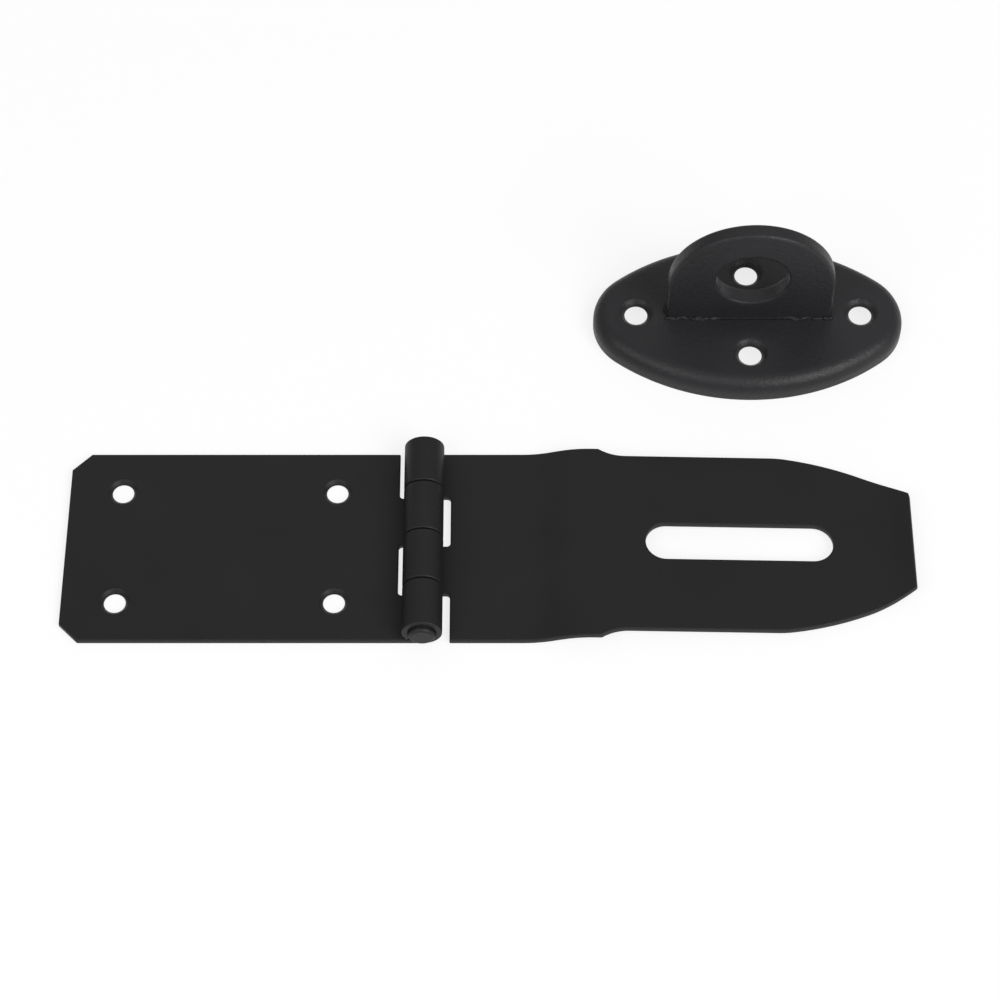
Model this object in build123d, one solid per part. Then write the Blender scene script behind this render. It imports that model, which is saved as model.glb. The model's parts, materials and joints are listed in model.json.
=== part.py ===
from build123d import *
import math
import os

# Sheet and hinge, shared by both leaves
leaf_width = 40.4
sheet = 1.2
pin_diameter = 4.9
pin_play = 0.05
pin_overhang = 1.0
knuckle_count = 4
end_knuckle = 9.7
knuckle_gap = 0.3
curl_slit = 0.1
notch_radius = 0.7
quarter_turn = 90.0

# Fixed leaf, screwed to the frame; its reach is from its end to the pin
fixed_reach = 66.0
end_margin = 9.8
screw_spacing_x = 40.0
screw_spacing_y = 23.8
leaf_hole = 4.0
hole_land = 0.3
countersink_angle = 90.0
corner_clip = 3.5
fixed_notch_gap = 0.85

# Hasp leaf; its reach is from the pin to its tip
hasp_reach = 90.3
hasp_notch_gap = 1.25
flat_run = 21.0
step_run = 7.2
step_rise = 2.15
step_bend = 18.0
crest_run = 4.3
shoulder_drop = 1.5
shoulder_radius = 9.0
slot_end_room = 1.5
slot_side_room = 2.2
tip_margin = 14.8
taper_run = 24.4
taper_radius = 59.0
taper_blend = 20.0
tip_width = 20.0
tip_corner = 0.6
lip_run = 5.8
lip_rise = 1.8
lip_bend = 20.0
lip_clearance = 0.4

# Staple plate, a pressed oval dish that lies beside the hasp
plate_length = 59.6
plate_width = 35.0
plate_end_radius = 11.0
plate_height = 4.8
plate_sheet = 1.6
plate_rim = 3.0
plate_inner_bevel = 0.8
plate_hole = 4.4
plate_end_margin = 8.2
plate_side_margin = 8.0
staple_gap = 13.15
staple_shift = 3.7

# Staple eye, a flat stamping riveted through the plate
eye_width = 31.6
eye_thickness = 3.2
eye_height = 25.3
eye_edge = 0.4
padlock_hole = 14.0
padlock_hole_height = 11.9
tenon_shoulder = 5.8
tenon_play = 0.05
rivet_spread = 0.9
rivet_depth = 0.8
rivet_bevel = 0.5

# Sizes that follow from those above
knuckle_radius = pin_diameter / 2 + pin_play + sheet
knuckle_pitch = (leaf_width - 2 * end_knuckle) / (knuckle_count - 2)
curl_end = math.degrees(math.asin((knuckle_radius - sheet - curl_slit) / knuckle_radius))
curl_turn = 3 * quarter_turn + curl_end
pin_x = fixed_reach - end_margin - screw_spacing_x / 2
slot_length = eye_width + 2 * slot_end_room
slot_width = eye_thickness + 2 * slot_side_room
shoulder_x = flat_run + step_run + crest_run
slot_x = hasp_reach - tip_margin - slot_length / 2
staple_x = pin_x + slot_x + staple_shift
staple_y = leaf_width / 2 + staple_gap + plate_width / 2
plate_spacing_x = plate_length - 2 * plate_end_margin
plate_spacing_y = plate_width - 2 * plate_side_margin
tenon_width = eye_width - 2 * tenon_shoulder


def rolled_sheet(underside, turn):
    """Sheet over the whole leaf width, with its end rolled round the pin; turn is 1 or -1."""
    run = make_face(Wire(underside.edges()).offset_2d(sheet, side=Side.LEFT))
    outer = CenterArc((0, knuckle_radius), knuckle_radius, -quarter_turn, turn * curl_turn)
    inner = CenterArc((0, knuckle_radius), knuckle_radius - sheet, -quarter_turn, turn * curl_turn)
    ends = Line(outer @ 0, inner @ 0) + Line(outer @ 1, inner @ 1)
    section = run + make_face(outer + inner + ends)
    return extrude(Plane.XZ * section, amount=leaf_width / 2, both=True)


def notches(rows, edge_x, towards):
    """Plan of the gaps that let the other leaf's knuckles through, from edge_x towards the pin."""
    reach = 2 * (abs(edge_x) + knuckle_radius)
    plan = Sketch()
    for row in rows:
        high = leaf_width / 2 - end_knuckle - (row - 1) * knuckle_pitch + knuckle_gap / 2
        low = high - knuckle_pitch - knuckle_gap
        high += knuckle_pitch if row == 0 else 0
        low -= knuckle_pitch if row == knuckle_count - 1 else 0
        middle = Pos(edge_x + towards * reach / 2, (high + low) / 2)
        plan += middle * RectangleRounded(reach, high - low, notch_radius)
    return plan


def cut_to_plan(strip, plan):
    """Blank cut from the rolled sheet along a plan outline."""
    height = 2 * knuckle_radius + step_rise + lip_rise
    return strip & extrude(plan, amount=height, both=True)


def countersunk(hole, thickness):
    """Cutter for a countersunk hole that opens upwards at the origin."""
    cone = (thickness - hole_land) * math.tan(math.radians(countersink_angle / 2))
    return CounterSinkHole(hole / 2, hole / 2 + cone, thickness, countersink_angle)


def fixed_leaf():
    """Leaf with four screw holes; it carries the even knuckles, counted from the far side."""
    strip = rolled_sheet(Line((-fixed_reach, 0), (0, 0)), 1)
    length = fixed_reach + 2 * knuckle_radius
    blank = Pos(length / 2 - fixed_reach, 0) * Rectangle(length, leaf_width)
    blank = chamfer(blank.vertices().group_by(Axis.X)[0], corner_clip)
    edge_x = -knuckle_radius - fixed_notch_gap
    leaf = cut_to_plan(strip, blank - notches(range(0, knuckle_count, 2), edge_x, 1))
    leaf = Pos(pin_x, 0, 0) * leaf
    for place in GridLocations(screw_spacing_x, screw_spacing_y, 2, 2):
        leaf -= Pos(0, 0, sheet) * place * countersunk(leaf_hole, sheet)
    return leaf


def hasp_plan():
    """Outline of the slotted leaf: wide at the hinge, shouldered in, then tapered past its tip."""
    half = leaf_width / 2
    narrow = half - shoulder_drop
    neck_x = shoulder_x + math.sqrt(2 * shoulder_radius * shoulder_drop - shoulder_drop**2)
    taper_x = hasp_reach - taper_run
    edge = Polyline((-2 * knuckle_radius, 0), (-2 * knuckle_radius, half), (shoulder_x, half))
    edge += TangentArc((neck_x, narrow), (shoulder_x, half), tangent=(-1, 0))
    edge += Line((neck_x, narrow), (taper_x, narrow))
    edge += RadiusArc((taper_x, narrow), (hasp_reach, tip_width / 2), taper_radius)
    beyond_x = hasp_reach + sheet
    edge += Polyline((hasp_reach, tip_width / 2), (beyond_x, tip_width / 2), (beyond_x, 0))
    plan = make_face(edge + mirror(edge, about=Plane.XZ))
    plan = fillet(plan.vertices().filter_by_position(Axis.X, taper_x, taper_x), taper_blend)
    return plan - Pos(slot_x, 0) * SlotOverall(slot_length, slot_width)


def hasp_leaf():
    """Slotted leaf that swings over the staple; it carries the odd knuckles."""
    bends = FilletPolyline(
        (0, 0),
        (flat_run, 0),
        (flat_run + step_run, step_rise),
        (hasp_reach - lip_run, lip_clearance),
        (hasp_reach, lip_clearance + lip_rise),
        radius=[step_bend, step_bend, lip_bend],
    )
    strip = rolled_sheet(bends, -1)
    edge_x = knuckle_radius + hasp_notch_gap
    leaf = cut_to_plan(strip, hasp_plan() - notches(range(1, knuckle_count, 2), edge_x, -1))
    tip = leaf.faces().sort_by(Axis.X)[-1]
    leaf = fillet(tip.edges().filter_by(Axis.Y, reverse=True), tip_corner)
    return Pos(pin_x, 0, 0) * leaf


def hinge_pin():
    """Plain cropped pin through the barrel, its ends standing a little out of it."""
    pin = Cylinder(pin_diameter / 2, leaf_width + 2 * pin_overhang)
    return Pos(pin_x, 0, knuckle_radius) * Rot(quarter_turn, 0, 0) * pin


def oval(inset):
    """Four-arc oval of the staple plate, drawn in by inset."""
    half_length = plate_length / 2 - inset
    half_width = plate_width / 2 - inset
    end_radius = plate_end_radius - inset
    end_x = half_length - end_radius
    side_radius = (end_x**2 + half_width**2 - end_radius**2) / (2 * (half_width - end_radius))
    share = end_radius / (side_radius - end_radius)
    join_x = end_x * (1 + share)
    join_y = (side_radius - half_width) * share
    side = ThreePointArc((-join_x, join_y), (0, half_width), (join_x, join_y))
    end = ThreePointArc((join_x, join_y), (half_length, 0), (join_x, -join_y))
    return make_face(side + end + mirror(side, about=Plane.XZ) + mirror(end, about=Plane.YZ))


def staple_plate():
    """Pressed oval dish, hollow below, with four screw holes and a slit for the eye's tenon."""
    dish = extrude(oval(0), amount=plate_height)
    dish = fillet(dish.edges().group_by(Axis.Z)[-1], plate_rim)
    hollow = extrude(oval(plate_sheet), amount=plate_height - plate_sheet)
    plate = dish - chamfer(hollow.edges().group_by(Axis.Z)[-1], plate_inner_bevel)
    top = Pos(0, 0, plate_height)
    along = GridLocations(plate_spacing_x, 0, 2, 1)
    across = GridLocations(0, plate_spacing_y, 1, 2)
    for place in along.locations + across.locations:
        plate -= top * place * countersunk(plate_hole, plate_sheet)
    slit = Rectangle(tenon_width + 2 * tenon_play, eye_thickness + 2 * tenon_play)
    plate -= top * extrude(slit, amount=-plate_sheet)
    return Pos(staple_x, staple_y, 0) * plate


def staple_eye():
    """Upright stamping with a round top and padlock hole, its tenon riveted over below the plate."""
    half = eye_width / 2
    spring = eye_height - half
    sides = Polyline((-half, spring), (-half, 0), (half, 0), (half, spring))
    outline = make_face(sides + ThreePointArc((half, spring), (0, eye_height), (-half, spring)))
    eye = extrude(Plane.XZ * outline, amount=eye_thickness / 2, both=True)
    rim = eye.edges().filter_by(Plane.XZ) - eye.edges().group_by(Axis.Z)[0]
    eye = chamfer(rim, eye_edge)
    bore = Circle(padlock_hole / 2)
    eye -= extrude(Plane.XZ * Pos(0, padlock_hole_height) * bore, amount=eye_thickness, both=True)
    tenon = Rectangle(tenon_width, eye_thickness)
    eye += extrude(tenon, amount=-plate_sheet)
    spread = Rectangle(tenon_width + 2 * rivet_spread, eye_thickness + 2 * rivet_spread)
    head = extrude(spread, amount=-rivet_depth)
    head = chamfer(head.edges().group_by(Axis.Z)[0], rivet_bevel)
    eye += Pos(0, 0, -plate_sheet) * head
    return Pos(staple_x, staple_y, plate_height) * eye


os.makedirs("parts", exist_ok=True)
for piece in (fixed_leaf, hasp_leaf, hinge_pin, staple_plate, staple_eye):
    export_step(piece(), f"parts/{piece.__name__}.step")
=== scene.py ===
import bpy
import json
import math
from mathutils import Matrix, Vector, noise


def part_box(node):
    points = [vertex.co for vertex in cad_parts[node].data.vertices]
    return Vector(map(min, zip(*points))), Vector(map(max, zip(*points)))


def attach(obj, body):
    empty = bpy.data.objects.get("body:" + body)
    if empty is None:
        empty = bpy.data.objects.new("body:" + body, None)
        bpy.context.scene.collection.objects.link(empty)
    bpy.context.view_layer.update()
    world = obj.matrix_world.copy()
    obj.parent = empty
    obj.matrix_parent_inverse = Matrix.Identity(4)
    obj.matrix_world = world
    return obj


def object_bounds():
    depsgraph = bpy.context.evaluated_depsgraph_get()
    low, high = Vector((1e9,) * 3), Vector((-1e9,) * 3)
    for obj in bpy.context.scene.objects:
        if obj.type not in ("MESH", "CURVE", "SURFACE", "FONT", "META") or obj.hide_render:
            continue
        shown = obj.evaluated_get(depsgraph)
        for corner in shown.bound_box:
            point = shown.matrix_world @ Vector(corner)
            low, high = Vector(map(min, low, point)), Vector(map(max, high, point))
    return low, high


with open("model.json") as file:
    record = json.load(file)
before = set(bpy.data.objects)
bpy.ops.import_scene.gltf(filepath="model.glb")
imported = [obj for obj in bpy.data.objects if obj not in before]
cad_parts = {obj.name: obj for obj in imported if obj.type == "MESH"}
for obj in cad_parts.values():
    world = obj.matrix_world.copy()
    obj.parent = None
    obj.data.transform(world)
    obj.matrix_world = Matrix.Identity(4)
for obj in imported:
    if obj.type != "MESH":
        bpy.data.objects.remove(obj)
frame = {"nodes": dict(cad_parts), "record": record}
cad_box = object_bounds()

# Fixed leaf: a stamped blank of 1.2 mm sheet steel with four countersunk holes,
# its tabs rolled into two knuckles. Sheared edges are tumbled blunt, then the
# whole leaf is coated satin black. Screws hold it to the frame.
mm = 0.001
leaf_edge_radius = 0.2 * mm
leaf_edge_angle = 50
leaf_black = (0.0072, 0.0072, 0.0073)
leaf_black_thin = (0.0092, 0.0091, 0.0091)
leaf_edge_black = (0.0105, 0.0105, 0.0105)
leaf_finish = {
    "cloud_size": 18 * mm,
    "peel_size": 0.9 * mm,
    "peel_depth": 0.012 * mm,
    "grain_size": 0.16 * mm,
    "grain_depth": 0.006 * mm,
    "roughness": (0.46, 0.60),
    "shine": 0.32,
    "flow": 0.35 * mm,
}


def blunt_edges(piece, radius, sharper_than):
    """Joins the piece's facets and rounds its sharp edges, which take its second material."""
    weld_distance = 0.001 * mm
    flat_angle = 0.2
    edge_segments = 3
    edge_material = 1
    join = piece.modifiers.new("join facets", "WELD")
    join.merge_threshold = weld_distance
    flat = piece.modifiers.new("merge flat facets", "DECIMATE")
    flat.decimate_type = "DISSOLVE"
    flat.angle_limit = math.radians(flat_angle)
    edge = piece.modifiers.new("blunt edges", "BEVEL")
    edge.width = radius
    edge.segments = edge_segments
    edge.limit_method = "ANGLE"
    edge.angle_limit = math.radians(sharper_than)
    edge.use_clamp_overlap = False
    edge.material = edge_material
    smooth = piece.modifiers.new("smooth bends", "WEIGHTED_NORMAL")
    smooth.keep_sharp = False


def speckle(nodes, links, size, detail):
    """Noise whose features are about size across, in the piece's own place."""
    place = nodes.new("ShaderNodeTexCoord")
    spots = nodes.new("ShaderNodeTexNoise")
    spots.inputs["Scale"].default_value = 1 / size
    spots.inputs["Detail"].default_value = detail
    links.new(place.outputs["Object"], spots.inputs["Vector"])
    return spots.outputs["Fac"]


def blend_by(nodes, links, amount, low, high):
    """Colour that goes from low to high as amount crosses its middle range."""
    middle_start, middle_end = 0.35, 0.65
    ramp = nodes.new("ShaderNodeValToRGB")
    first, last = ramp.color_ramp.elements
    first.position = middle_start
    first.color = (*low, 1)
    last.position = middle_end
    last.color = (*high, 1)
    links.new(amount, ramp.inputs["Fac"])
    return ramp.outputs["Color"]


def spread(nodes, links, amount, low, high):
    """Number that goes from low to high as amount crosses its middle range."""
    middle_start, middle_end = 0.3, 0.7
    span = nodes.new("ShaderNodeMapRange")
    span.inputs["From Min"].default_value = middle_start
    span.inputs["From Max"].default_value = middle_end
    span.inputs["To Min"].default_value = low
    span.inputs["To Max"].default_value = high
    links.new(amount, span.inputs["Value"])
    return span.outputs["Result"]


def relief(nodes, links, height, depth, under):
    """Normal of a bump of the given depth, laid over the normal under it."""
    bump = nodes.new("ShaderNodeBump")
    bump.inputs["Distance"].default_value = depth
    links.new(height, bump.inputs["Height"])
    links.new(under, bump.inputs["Normal"])
    return bump.outputs["Normal"]


def black_coat(name, dark, light, cloud_size, peel_size, peel_depth, grain_size, grain_depth,
               roughness, shine, flow):
    """Baked coat: cloudy colour, orange peel and fine grain, flowed round over the edges."""
    cloud_detail = 4
    fine_detail = 2
    flow_samples = 8
    coat = bpy.data.materials.new(name)
    coat.use_nodes = True
    nodes, links = coat.node_tree.nodes, coat.node_tree.links
    shader = nodes["Principled BSDF"]
    cloud = speckle(nodes, links, cloud_size, cloud_detail)
    peel = speckle(nodes, links, peel_size, fine_detail)
    grain = speckle(nodes, links, grain_size, fine_detail)
    links.new(blend_by(nodes, links, cloud, dark, light), shader.inputs["Base Color"])
    links.new(spread(nodes, links, grain, *roughness), shader.inputs["Roughness"])
    flowed = nodes.new("ShaderNodeBevel")
    flowed.samples = flow_samples
    flowed.inputs["Radius"].default_value = flow
    peeled = relief(nodes, links, peel, peel_depth, flowed.outputs["Normal"])
    links.new(relief(nodes, links, grain, grain_depth, peeled), shader.inputs["Normal"])
    shader.inputs["Specular IOR Level"].default_value = shine
    return coat


def dress(piece, face_coat, edge_coat):
    """Gives the piece its coat, with the thinner coat of its edges in the second slot."""
    piece.data.materials.clear()
    piece.data.materials.append(face_coat)
    piece.data.materials.append(edge_coat)


leaf_coat = black_coat("leaf coat", leaf_black, leaf_black_thin, **leaf_finish)
leaf_edge_coat = black_coat("leaf edge coat", leaf_black_thin, leaf_edge_black, **leaf_finish)
fixed_leaf = frame["nodes"]["fixed_leaf"]
dress(fixed_leaf, leaf_coat, leaf_edge_coat)
blunt_edges(fixed_leaf, leaf_edge_radius, leaf_edge_angle)

# Hasp leaf: the same sheet and coat, with two knuckles that swing on the pin, a
# step up, a long slot for the staple's eye and a tip bent up for a finger.
hasp_leaf = frame["nodes"]["hasp_leaf"]
dress(hasp_leaf, leaf_coat, leaf_edge_coat)
blunt_edges(hasp_leaf, leaf_edge_radius, leaf_edge_angle)

# Hinge pin: a length of drawn steel wire pushed through the four knuckles, its
# cropped ends tumbled round and standing a little out of the barrel. It is
# coated with the leaves, so that its ends look dull.
pin_edge_radius = 0.65 * mm
pin_edge_angle = 25
pin_black = (0.007, 0.007, 0.007)
pin_black_thin = (0.012, 0.0117, 0.0114)
pin_finish = {
    "cloud_size": 1.6 * mm,
    "peel_size": 0.5 * mm,
    "peel_depth": 0.02 * mm,
    "grain_size": 0.12 * mm,
    "grain_depth": 0.008 * mm,
    "roughness": (0.40, 0.58),
    "shine": 0.32,
    "flow": 0.35 * mm,
}
pin_coat = black_coat("pin coat", pin_black, pin_black_thin, **pin_finish)
hinge_pin = frame["nodes"]["hinge_pin"]
dress(hinge_pin, pin_coat, leaf_edge_coat)
blunt_edges(hinge_pin, pin_edge_radius, pin_edge_angle)

# Staple plate: an oval dish pressed from 1.6 mm sheet steel with a turned-down
# rim, pierced and countersunk for the four screws that hold it to the door. Its
# coat is greyer than the leaves' and a little glossier, with a deeper peel.
staple_edge_radius = 0.2 * mm
staple_edge_angle = 50
staple_black = (0.0178, 0.0179, 0.0195)
staple_black_thin = (0.0213, 0.0214, 0.0233)
staple_edge_black = (0.0230, 0.0231, 0.0251)
staple_finish = {
    "cloud_size": 14 * mm,
    "peel_size": 0.75 * mm,
    "peel_depth": 0.085 * mm,
    "grain_size": 0.26 * mm,
    "grain_depth": 0.03 * mm,
    "roughness": (0.34, 0.5),
    "shine": 0.25,
    "flow": 0.9 * mm,
}
staple_coat = black_coat("staple coat", staple_black, staple_black_thin, **staple_finish)
staple_edge_coat = black_coat("staple edge coat", staple_black_thin, staple_edge_black,
                              **staple_finish)
staple_plate = frame["nodes"]["staple_plate"]
dress(staple_plate, staple_coat, staple_edge_coat)
blunt_edges(staple_plate, staple_edge_radius, staple_edge_angle)

# Staple eye: a round-topped stamping of 3.2 mm steel with the padlock hole,
# its edges broken, its foot riveted through the plate and coated with it.
eye_edge_radius = 0.14 * mm
eye_edge_angle = 35
staple_eye = frame["nodes"]["staple_eye"]
dress(staple_eye, staple_coat, staple_edge_coat)
blunt_edges(staple_eye, eye_edge_radius, eye_edge_angle)

# Foot bead: coat that ran into the corner where the eye stands on the plate and
# baked there in lumps, thickest towards both ends and thin in the middle.
bead_radius = 0.42 * mm
bead_swell = 1.6
bead_least = 0.3
bead_bare_stretch = 4.5 * mm
bead_full_stretch = 7.0 * mm
bead_lump_size = 0.85 * mm
bead_step = 0.16 * mm
bead_sides = 10
bead_fineness = 0.1 * mm
bead_black = (0.0125, 0.0125, 0.0136)
bead_finish = {
    "cloud_size": 3 * mm,
    "peel_size": 0.45 * mm,
    "peel_depth": 0.04 * mm,
    "grain_size": 0.18 * mm,
    "grain_depth": 0.02 * mm,
    "roughness": (0.46, 0.6),
    "shine": 0.24,
    "flow": 0.1 * mm,
}
mounts = frame["record"]["mounts"]
padlock_eye = next(mount for mount in mounts if mount["name"] == "padlock_eye")
eye_low, eye_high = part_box("staple_eye")
foot_x = (eye_high.x - eye_low.x) / 2
foot_y = padlock_eye["dims"]["length_mm"] * mm / 2
foot_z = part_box("staple_plate")[1].z
foot_middle = Vector((*padlock_eye["pos_m"][:2], foot_z))


def foot_path(step):
    """Points round the eye's foot with the outward direction at each."""
    corners = [Vector((foot_x, -foot_y, 0)), Vector((foot_x, foot_y, 0)),
               Vector((-foot_x, foot_y, 0)), Vector((-foot_x, -foot_y, 0))]
    outward = [Vector((1, 0, 0)), Vector((0, 1, 0)), Vector((-1, 0, 0)), Vector((0, -1, 0))]
    stations = []
    for side in range(len(corners)):
        following = (side + 1) % len(corners)
        start, end = corners[side], corners[following]
        count = round((end - start).length / step)
        for number in range(1, count):
            stations.append((foot_middle + start.lerp(end, number / count), outward[side]))
        corner_outward = (outward[side] + outward[following]).normalized()
        stations.append((foot_middle + end, corner_outward))
    return stations


upward = Vector((0, 0, 1))
rings = []
for point, outward in foot_path(bead_step):
    ring = []
    past_bare = abs(point.x - foot_middle.x) - bead_bare_stretch
    thickness = min(1, past_bare / (bead_full_stretch - bead_bare_stretch))
    for number in range(bead_sides):
        turn = 2 * math.pi * number / bead_sides
        direction = outward * math.cos(turn) + upward * math.sin(turn)
        lump = noise.noise((point + direction * bead_radius) / bead_lump_size)
        swell = max(bead_least, thickness * (1 + bead_swell * lump))
        ring.append(point + direction * bead_radius * swell)
    rings.append(ring)
bead_points = [corner for ring in rings for corner in ring]
bead_faces = []
for number in range(len(rings)):
    here, there = number * bead_sides, (number + 1) % len(rings) * bead_sides
    for side in range(bead_sides):
        beyond = (side + 1) % bead_sides
        bead_faces.append((here + side, there + side, there + beyond, here + beyond))
bead_mesh = bpy.data.meshes.new("foot_bead")
bead_mesh.from_pydata(bead_points, [], bead_faces)
bead_mesh.shade_smooth()
bead_mesh.materials.append(black_coat("bead coat", bead_black, staple_black, **bead_finish))
foot_bead = bpy.data.objects.new("foot_bead", bead_mesh)
fuse = foot_bead.modifiers.new("fuse lumps", "REMESH")
fuse.mode = "VOXEL"
fuse.voxel_size = bead_fineness
fuse.use_smooth_shade = True
bpy.context.scene.collection.objects.link(foot_bead)
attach(foot_bead, "fixed_side")

# Studio floor: a wide sheet of white paper under the hasp. It looks white to the
# camera and in reflections, and throws back less light than that on the hasp.
floor_white = (0.95, 0.95, 0.95, 1)
floor_pale = (0.45, 0.45, 0.45, 1)
floor_glow = 0.8
floor_roughness = 0.9
floor_shine = 0.0
floor_reach = 4.0
floor_drop = 0.02 * mm
floor_corners = [(-floor_reach, -floor_reach, 0), (floor_reach, -floor_reach, 0),
                 (floor_reach, floor_reach, 0), (-floor_reach, floor_reach, 0)]
floor_mesh = bpy.data.meshes.new("floor")
floor_mesh.from_pydata(floor_corners, [], [(0, 1, 2, 3)])
floor = bpy.data.objects.new("floor", floor_mesh)
floor.location.z = cad_box[0].z - floor_drop
bpy.context.scene.collection.objects.link(floor)


def either(nodes, links, first, second):
    """Output that is 1 where one of two sockets, each 0 or 1, is 1."""
    larger = nodes.new("ShaderNodeMath")
    larger.operation = "MAXIMUM"
    links.new(first, larger.inputs[0])
    links.new(second, larger.inputs[1])
    return larger.outputs["Value"]


paper = bpy.data.materials.new("white paper")
paper.use_nodes = True
paper_nodes, paper_links = paper.node_tree.nodes, paper.node_tree.links
ray = paper_nodes.new("ShaderNodeLightPath").outputs
mirrored = either(paper_nodes, paper_links, ray["Is Glossy Ray"], ray["Is Transmission Ray"])
seen = either(paper_nodes, paper_links, ray["Is Camera Ray"], mirrored)
shade = paper_nodes.new("ShaderNodeMixRGB")
shade.inputs["Color1"].default_value = floor_pale
shade.inputs["Color2"].default_value = floor_white
paper_links.new(seen, shade.inputs["Fac"])
matt = paper_nodes["Principled BSDF"]
matt.inputs["Roughness"].default_value = floor_roughness
matt.inputs["Specular IOR Level"].default_value = floor_shine
paper_links.new(shade.outputs["Color"], matt.inputs["Base Color"])
glow = paper_nodes.new("ShaderNodeEmission")
glow_share = paper_nodes.new("ShaderNodeMath")
glow_share.operation = "MULTIPLY"
glow_share.inputs[1].default_value = floor_glow
paper_links.new(seen, glow_share.inputs[0])
lit = paper_nodes.new("ShaderNodeMixShader")
paper_links.new(glow_share.outputs["Value"], lit.inputs["Fac"])
paper_links.new(matt.outputs["BSDF"], lit.inputs[1])
paper_links.new(glow.outputs["Emission"], lit.inputs[2])
paper_links.new(lit.outputs["Shader"], paper_nodes["Material Output"].inputs["Surface"])
floor_mesh.materials.append(paper)

# Studio light: an even pale room, a strong soft box at the front on the right
# and weaker ones at the front on the left and behind.
room_white = (1, 1, 1, 1)
room_strength = 0.38
right_box_place = (1.14, -1.05, 1.29)
right_box_width = 1.2
right_box_power = 29.0
left_box_place = (-0.94, -0.97, 1.41)
left_box_width = 1.2
left_box_power = 12.0
rear_box_place = (0.06, 1.61, 1.23)
rear_box_width = 1.8
rear_box_power = 3.0
room = bpy.data.worlds.new("pale room")
bpy.context.scene.world = room
room.use_nodes = True
room_light = room.node_tree.nodes["Background"]
room_light.inputs["Color"].default_value = room_white
room_light.inputs["Strength"].default_value = room_strength


def soft_box(name, place, aim, width, power):
    """Square area lamp at a place, turned towards aim."""
    lamp = bpy.data.lights.new(name, "AREA")
    lamp.shape = "SQUARE"
    lamp.size = width
    lamp.energy = power
    holder = bpy.data.objects.new(name, lamp)
    holder.location = place
    holder.rotation_euler = (aim - Vector(place)).to_track_quat("-Z", "Y").to_euler()
    bpy.context.scene.collection.objects.link(holder)


middle = (cad_box[0] + cad_box[1]) / 2
soft_box("right soft box", right_box_place, middle, right_box_width, right_box_power)
soft_box("left soft box", left_box_place, middle, left_box_width, left_box_power)
soft_box("rear soft box", rear_box_place, middle, rear_box_width, rear_box_power)

# Camera: a long lens above and in front of the hasp, fitted to the photograph's
# outline.
camera_lens = 108.99
camera_film = 36.0
camera_place = (50.3 * mm, -295.7 * mm, 474.7 * mm)
camera_aim = Vector((50.3 * mm, 10.76 * mm, 0))
camera_near = 0.05
camera_far = 20.0
camera = bpy.data.cameras.new("camera")
camera.lens = camera_lens
camera.sensor_width = camera_film
camera.clip_start = camera_near
camera.clip_end = camera_far
viewer = bpy.data.objects.new("camera", camera)
viewer.location = camera_place
viewer.rotation_euler = (camera_aim - viewer.location).to_track_quat("-Z", "Y").to_euler()
bpy.context.scene.collection.objects.link(viewer)
bpy.context.scene.camera = viewer
bpy.context.scene.view_settings.view_transform = "Standard"
